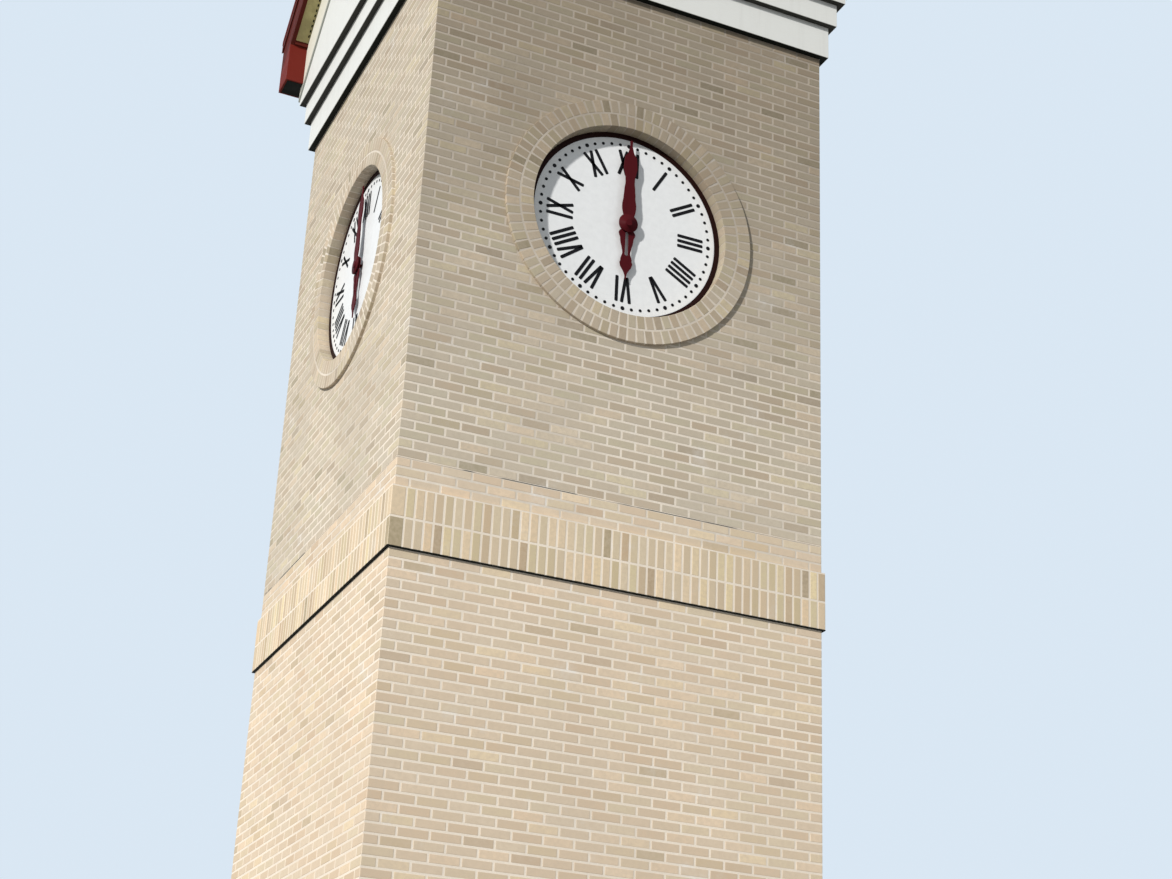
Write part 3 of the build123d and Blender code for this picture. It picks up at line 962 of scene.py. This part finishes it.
class TOWER_OT_dials(TowerPiece, bpy.types.Operator):
    """Put the minute dots and the Roman numerals on the white dials, and paint rims and hands"""

    bl_idname = "tower.dials"
    bl_label = "Dials and hands"

    def stroke(self, bm, dials, foot, head, at):
        """A numeral stroke between two points, each a distance along the dial and a radius."""
        foot, head = Vector((foot[0], 0, foot[1])), Vector((head[0], 0, head[1]))
        run = head - foot
        lean = Matrix.Rotation(math.atan2(run.x, run.z), 4, "Y")
        place = at @ Matrix.Translation((foot + head) / 2) @ lean
        half = dials.stroke / 2
        low = (-half, -dials.mark_proud, -run.length / 2)
        verts = bar(bm, low, (half, dials.mark_foot, run.length / 2), place)
        along = place.to_3x3() @ Vector((0, 1, 0))
        ends = [
            e for e in {e for v in verts for e in v.link_edges}
            if abs((e.verts[1].co - e.verts[0].co).normalized().dot(along)) > ALIGNED
        ]
        ease(bm, ends, half * STROKE_ROUNDING, segments=3)

    def numeral(self, bm, dials, text, at):
        """The strokes of one numeral, centred on its hour and with its head outward."""
        places, x = [], 0.0
        for n, letter in enumerate(text):
            if n:
                both_bars = letter == "I" and text[n - 1] == "I"
                x += dials.bar_pitch if both_bars else dials.wide_pitch
            places.append(x)
        reach = [0.0 if letter == "I" else dials.arms / 2 for letter in text]
        middle = (places[0] - reach[0] + places[-1] + reach[-1]) / 2
        inner, outer = dials.numeral_inner, dials.numeral_outer
        half = dials.arms / 2
        touch = dials.stroke * FOOT_GAP
        for letter, place in zip(text, places):
            x = place - middle
            if letter == "I":
                self.stroke(bm, dials, (x, inner), (x, outer), at)
            elif letter == "V":
                self.stroke(bm, dials, (x - touch, inner), (x - half, outer), at)
                self.stroke(bm, dials, (x + touch, inner), (x + half, outer), at)
            else:
                self.stroke(bm, dials, (x - half, inner), (x + half, outer), at)
                self.stroke(bm, dials, (x + half, inner), (x - half, outer), at)

    def execute(self, context):
        dials = context.scene.tower_dials
        depth = dials.mark_proud + dials.mark_foot
        for side in SIDES:
            face = turned(side) @ Matrix.Translation((0, -DIAL_FACE, CLOCK_Z))
            bm = bmesh.new()
            for minute in range(60):
                spin = Matrix.Rotation(math.radians(6 * minute), 4, "Y")
                radius = dials.hour_dot_radius if minute % 5 == 0 else dials.dot_radius
                middle = (0, depth / 2 - dials.mark_proud, dials.dot_circle)
                upright = Matrix.Translation(middle) @ Matrix.Rotation(math.radians(90), 4, "X")
                bmesh.ops.create_cone(
                    bm, cap_ends=True, segments=20, radius1=radius, radius2=radius,
                    depth=depth, matrix=face @ spin @ upright,
                )
            for hour, text in enumerate(NUMERALS):
                spin = Matrix.Rotation(math.radians(30 * hour), 4, "Y")
                self.numeral(bm, dials, text, face @ spin)
            bmesh.ops.recalc_face_normals(bm, faces=bm.faces)
            piece(f"dial_marks_{side}", bm, "mark_black", "dark_metal")
            rim = clock_ring(
                DIAL_RADIUS - dials.rim_width, DIAL_RADIUS,
                DIAL_FACE + dials.rim_depth, DIAL_FACE - dials.rim_depth,
            )
            turned_piece(
                f"rim_ring_{side}", rim, side, "rim_red", "burgundy",
                replaces=(f"dial_rim_{side}",), smooth_angle=30,
            )
            dress(f"dial_{side}", "dial_enamel")
            dress(f"dial_rim_{side}", "rim_red")
            for hand in HAND_SHAPES:
                node = f"{hand}_{side}"
                dress(node, "burgundy")
                turned_piece(
                    f"{hand}_blade_{side}", shaped_hand(hand, side), side, "burgundy", "burgundy",
                    body=node, replaces=(node,), smooth_angle=30,
                )
        return {"FINISHED"}


def mitred_board(outer, inner, low, high):
    """A level board on the front, between two distances from the middle, cut at 45 degrees."""
    bm = bmesh.new()
    bar(bm, (-outer, -outer, low), (outer, -inner, high))
    mitre(bm)
    return bm


class TOWER_OT_cornice(TowerPiece, bpy.types.Operator):
    """Board the stepped cornice with mitred, eased boards over dark undersides, which are painted shade
    """

    bl_idname = "tower.cornice"
    bl_label = "Cornice"

    def execute(self, context):
        trim = context.scene.tower_trim
        steps = [WALL_HALF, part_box("cornice_lower")[1].x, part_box("cornice_middle")[1].x, GABLE_HALF]
        levels = [CORNICE_LOW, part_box("cornice_middle")[0].z, GABLE_LOW]
        for side in SIDES:
            for n, node in enumerate(("cornice_lower", "cornice_middle")):
                board = mitred_board(steps[n + 1], WALL_HALF, levels[n], levels[n + 1])
                ease(board, board.edges[:], trim.cornice_edge)
                turned_piece(
                    f"{node}_boards_{side}", board, side, "white_paint", "white_paint",
                    replaces=(node,),
                )
            # Dark boards under the bands are painted shade of their undersides; the lowest is painted
            # in the dark metal
            for n, name in enumerate(("lower", "middle", "upper")):
                outer, inner = steps[n + 1] - trim.underside_inset, steps[n] + trim.underside_proud
                under = levels[n] - trim.underside_proud
                board = mitred_board(outer, inner, under, levels[n] + trim.underside_proud / 2)
                finish = "dark_metal" if name == "lower" else "dark_underside"
                turned_piece(f"cornice_underside_{name}_{side}", board, side, finish, "dark_metal")
        return {"FINISHED"}


# Angle in radians from which an edge of the raking board is rounded
SHARP = 0.5


class TOWER_OT_gables(TowerPiece, bpy.types.Operator):
    """Face the gables with white panels, raking boards and a grey bead of painted shade under the
    boards
    """

    bl_idname = "tower.gables"
    bl_label = "Gables"

    def execute(self, context):
        trim = context.scene.tower_trim
        for side in SIDES:
            node = f"gable_{side}"
            parts = {}
            for part, cleared in (("panel", "clear_outer"), ("board", "clear_inner")):
                bm = cad_copy(node)
                bmesh.ops.transform(bm, matrix=turned(side).inverted(), verts=bm.verts)
                cut(bm, (0, -GABLE_HALF - HAIR, 0), (0, -1, 0), cleared)
                bmesh.ops.dissolve_limit(
                    bm, angle_limit=math.radians(1), verts=bm.verts, edges=bm.edges
                )
                bmesh.ops.recalc_face_normals(bm, faces=bm.faces)
                parts[part] = bm
            board = parts["board"]
            places = [v.co for v in board.verts]
            line = min(co.z + ROOF_SLOPE * abs(co.x) for co in places)
            half = max(abs(co.x) for co in places if co.z + ROOF_SLOPE * abs(co.x) < line + MM)
            front = trim.shade_bead_proud - min(co.y for co in places)
            # Grey bead of painted shade along the foot of the raking board
            bead = bmesh.new()
            chevron(bead, half, line + trim.shade_bead_lap, line - trim.shade_bead_drop, front, GABLE_HALF - MM)
            ease(board, [e for e in board.edges if e.calc_face_angle(0) > SHARP], trim.board_edge)
            turned_piece(
                f"gable_panel_{side}", parts["panel"], side, "white_paint", "white_paint",
                replaces=(node,),
            )
            turned_piece(f"gable_board_{side}", board, side, "cream_paint", "white_paint")
            turned_piece(f"gable_shade_bead_{side}", bead, side, "grey_bead", "white_paint")
        return {"FINISHED"}


class TOWER_OT_rakes(TowerPiece, bpy.types.Operator):
    """Cap and crown the red fascias, and lay a row of dark vent slots of painted shade along the olive
    soffits
    """

    bl_idname = "tower.rakes"
    bl_label = "Rakes"

    def crown(self, trim):
        """The strip along the head of the fascia, mitred at the corners."""
        bm = bmesh.new()
        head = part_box("rake_fascia_front")[1].z
        half = EAVE_HALF + trim.crown_proud
        back = EAVE_HALF - trim.crown_proud / 4
        chevron(bm, half, head - MM, head - trim.crown_height, half, back)
        mitre(bm)
        return bm

    def cap(self, trim, apex):
        """The cap along the foot of the fascia and across both of its ends."""
        bm = bmesh.new()
        drop = trim.cap_drop
        back = FASCIA_BACK - trim.cap_reach
        chevron(bm, EAVE_START, apex + MM, apex - drop, EAVE_HALF - MM, back)
        level = apex - ROOF_SLOPE * EAVE_START
        for across in (1, -1):
            start, end = sorted(across * x for x in (EAVE_START - drop, EAVE_START))
            bar(bm, (start, -back, level - drop), (end, -GABLE_HALF, level + ROOF_SLOPE * drop))
        return bm

    def painted_shade_vents(self, trim, apex):
        """The rows of dark slots along both soffits, beside the gable: painted shade of the vent
        openings.
        """
        bm = bmesh.new()
        tilt = math.atan(ROOF_SLOPE)
        step = trim.vent_pitch * math.cos(tilt)
        near = GABLE_HALF + trim.vent_inset
        half = trim.vent_length / 2
        for across in (1, -1):
            for n in range(1, int(EAVE_START / step)):
                place = (
                    Matrix.Translation((across * n * step, 0, apex - ROOF_SLOPE * n * step))
                    @ Matrix.Rotation(across * tilt, 4, "Y")
                )
                bar(bm, (-half, -near - trim.vent_width, -MM), (half, -near, MM), place)
        return bm

    def execute(self, context):
        trim = context.scene.tower_trim
        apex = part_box("rake_fascia_front")[0].z + ROOF_SLOPE * EAVE_HALF
        for side in SIDES:
            dress(f"rake_soffit_{side}", "olive_paint")
            dress(f"rake_fascia_{side}", "brown_metal")
            for name, bm, finish, slot in (
                ("crown", self.crown(trim), "brown_metal", "red_metal"),
                ("cap", self.cap(trim, apex), "brown_metal", "red_metal"),
                # Vent slots as dark patches: painted shade
                ("painted_shade_vents", self.painted_shade_vents(trim, apex), "dark_metal", "dark_metal"),
            ):
                turned_piece(f"rake_{name}_{side}", bm, side, finish, slot)
        return {"FINISHED"}


class TOWER_OT_eave_boxes(TowerPiece, bpy.types.Operator):
    """Put the dark panel of painted shade under each red eave box"""

    bl_idname = "tower.eave_boxes"
    bl_label = "Eave boxes"

    def execute(self, context):
        trim = context.scene.tower_trim
        low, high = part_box("corner_eave_front_right")
        outer = high.x - trim.panel_margin
        inner = GABLE_HALF + trim.panel_margin / 2
        start = low.x + trim.panel_margin
        outline = (
            (start, -outer), (outer, -outer), (outer, -start),
            (inner, -start), (inner, -inner), (start, -inner),
        )
        for corner, side in zip(CORNERS, SIDES):
            dress(f"corner_eave_{corner}", "red_metal")
            # Dark panel under the box: painted shade of its underside
            bm = bmesh.new()
            under = low.z - trim.panel_proud
            extruded(bm, [(x, y, under) for x, y in outline], (0, 0, 2 * trim.panel_proud))
            turned_piece(f"eave_shade_panel_{corner}", bm, side, "dark_metal", "dark_metal")
        return {"FINISHED"}


class TOWER_OT_roof(TowerPiece, bpy.types.Operator):
    """Run standing seams down the crossing slopes, from the ridge caps to the valleys"""

    bl_idname = "tower.roof"
    bl_label = "Roof"

    def execute(self, context):
        roof = context.scene.tower_roof
        for node in ("roof", "ridge_cap"):
            dress(node, "roof_metal")
        half, apex = ROOF_HIGH.x, ROOF_HIGH.z
        tilt = math.atan(ROOF_SLOPE)
        for side in SIDES:
            bm = bmesh.new()
            for n in range(int(half / roof.seam_pitch)):
                out = half - roof.seam_margin - n * roof.seam_pitch
                valley = out - roof.seam_margin / 2
                if valley < 2 * roof.cap_half:
                    continue
                for across in (1, -1):
                    place = (
                        turned(side)
                        @ Matrix.Translation((0, -out, apex))
                        @ Matrix.Rotation(across * tilt, 4, "Y")
                    )
                    ends = sorted(across * x / math.cos(tilt) for x in (roof.cap_half, valley))
                    low = (ends[0], -roof.seam_width / 2, -roof.seam_foot)
                    bar(bm, low, (ends[1], roof.seam_width / 2, roof.seam_height), place)
            ease(bm, bm.edges[:], roof.seam_edge, segments=1)
            piece(f"roof_seams_{side}", bm, "roof_metal", "red_metal")
        return {"FINISHED"}


def seen_directly(tree):
    """One for what the camera sees, also in gloss and through glass, and nought for the rest."""
    path = tree.nodes.new("ShaderNodeLightPath")
    seen = path.outputs["Is Camera Ray"]
    for name in ("Is Glossy Ray", "Is Transmission Ray"):
        either = tree.nodes.new("ShaderNodeMath")
        either.operation = "MAXIMUM"
        tree.links.new(seen, either.inputs[0])
        tree.links.new(path.outputs[name], either.inputs[1])
        seen = either.outputs[0]
    return seen


class TOWER_OT_studio(TowerPiece, bpy.types.Operator):
    """Set up the pale floor, the soft lamps, the even sky and the camera"""

    bl_idname = "tower.studio"
    bl_label = "Studio"

    def floor(self, scene, studio):
        """A wide round floor that looks paler than the light that it throws back."""
        bm = bmesh.new()
        bmesh.ops.create_circle(bm, cap_ends=True, segments=96, radius=studio.floor_radius)
        mesh = bpy.data.meshes.new("studio_floor")
        bm.to_mesh(mesh)
        bm.free()
        floor = bpy.data.objects.new("studio_floor", mesh)
        scene.collection.objects.link(floor)
        f = NodeFinish("studio_floor")
        shade = f.ramp(f.noise(0.4), ((0.0, scaled(studio.floor, 0.985)), (1.0, tuple(studio.floor))))
        shade = f.mix(seen_directly(f.tree), tuple(studio.bounce), shade)
        mesh.materials.append(f.finish(shade, 0.9))

    def sky(self, scene, studio):
        """An even light from all sides, behind a pale backdrop that only shows."""
        world = bpy.data.worlds.new("studio_sky")
        scene.world = world
        world.use_nodes = True
        tree = world.node_tree
        even = tree.nodes["Background"]
        even.inputs["Color"].default_value = (*studio.cool, 1.0)
        even.inputs["Strength"].default_value = studio.sky
        backdrop = tree.nodes.new("ShaderNodeBackground")
        backdrop.inputs["Color"].default_value = (*studio.backdrop, 1.0)
        shown = tree.nodes.new("ShaderNodeMixShader")
        sources = (seen_directly(tree), even.outputs[0], backdrop.outputs[0])
        for socket, source in zip(shown.inputs, sources):
            tree.links.new(source, socket)
        tree.links.new(shown.outputs[0], tree.nodes["World Output"].inputs["Surface"])

    def lamp(self, scene, name, towards, strength, spread, colour):
        """A soft, distant lamp that shines from a direction."""
        data = bpy.data.lights.new(name, "SUN")
        data.energy = strength
        data.angle = spread
        data.color = colour
        made = bpy.data.objects.new(name, data)
        towards = Vector(towards).normalized()
        made.location = towards * 2 * ROOF_HIGH.z
        made.rotation_euler = towards.to_track_quat("Z", "Y").to_euler()
        scene.collection.objects.link(made)

    def camera(self, scene, studio):
        """The camera at the photograph's place and angle."""
        data = bpy.data.cameras.new("photo_camera")
        data.sensor_fit = "HORIZONTAL"
        data.lens = studio.lens
        data.shift_y = studio.camera_shift
        data.clip_end = 4 * studio.floor_radius
        camera = bpy.data.objects.new("photo_camera", data)
        camera.location = studio.camera_place
        camera.rotation_euler = studio.camera_turn
        scene.collection.objects.link(camera)
        scene.camera = camera

    def execute(self, context):
        scene = context.scene
        studio = scene.tower_studio
        wide, warm, cool = studio.wide_spread, tuple(studio.warm), tuple(studio.cool)
        self.floor(scene, studio)
        self.sky(scene, studio)
        self.lamp(scene, "key_lamp", studio.key_from, studio.key_light, studio.key_spread, warm)
        self.lamp(scene, "front_lamp", studio.front_from, studio.fill_light, wide, cool)
        self.lamp(scene, "back_lamp", studio.back_from, studio.back_light, wide, warm)
        self.camera(scene, studio)
        scene.view_settings.view_transform = "Standard"
        return {"FINISHED"}


OPERATORS = (
    TOWER_OT_finishes,
    TOWER_OT_brick_walls,
    TOWER_OT_soldier_belt,
    TOWER_OT_dial_surrounds,
    TOWER_OT_dials,
    TOWER_OT_cornice,
    TOWER_OT_gables,
    TOWER_OT_rakes,
    TOWER_OT_eave_boxes,
    TOWER_OT_roof,
    TOWER_OT_studio,
)


class TOWER_PT_panel(bpy.types.Panel):
    """The tower's pieces, in the order in which they are built"""

    bl_idname = "TOWER_PT_panel"
    bl_label = "Clock tower"
    bl_space_type = "VIEW_3D"
    bl_region_type = "UI"
    bl_category = "Clock tower"

    def draw(self, context):
        for operator in OPERATORS:
            self.layout.operator(operator.bl_idname)
        for name, group in GROUPS.items():
            box = self.layout.box()
            settings = getattr(context.scene, name)
            for key in group.__annotations__:
                box.prop(settings, key)


CLASSES = (*GROUPS.values(), *OPERATORS, TOWER_PT_panel)


def register():
    """Adds the settings, the operators and the panel to Blender."""
    for made in CLASSES:
        bpy.utils.register_class(made)
    for name, group in GROUPS.items():
        setattr(bpy.types.Scene, name, bpy.props.PointerProperty(type=group))


def unregister():
    """Takes them out again."""
    for name in GROUPS:
        delattr(bpy.types.Scene, name)
    for made in reversed(CLASSES):
        bpy.utils.unregister_class(made)


def main():
    """Builds the tower and its studio."""
    register()
    bpy.ops.tower.finishes()
    bpy.ops.tower.brick_walls()
    bpy.ops.tower.soldier_belt()
    bpy.ops.tower.dial_surrounds()
    bpy.ops.tower.dials()
    bpy.ops.tower.cornice()
    bpy.ops.tower.gables()
    bpy.ops.tower.rakes()
    bpy.ops.tower.eave_boxes()
    bpy.ops.tower.roof()
    bpy.ops.tower.studio()


if __name__ == "__main__":
    main()
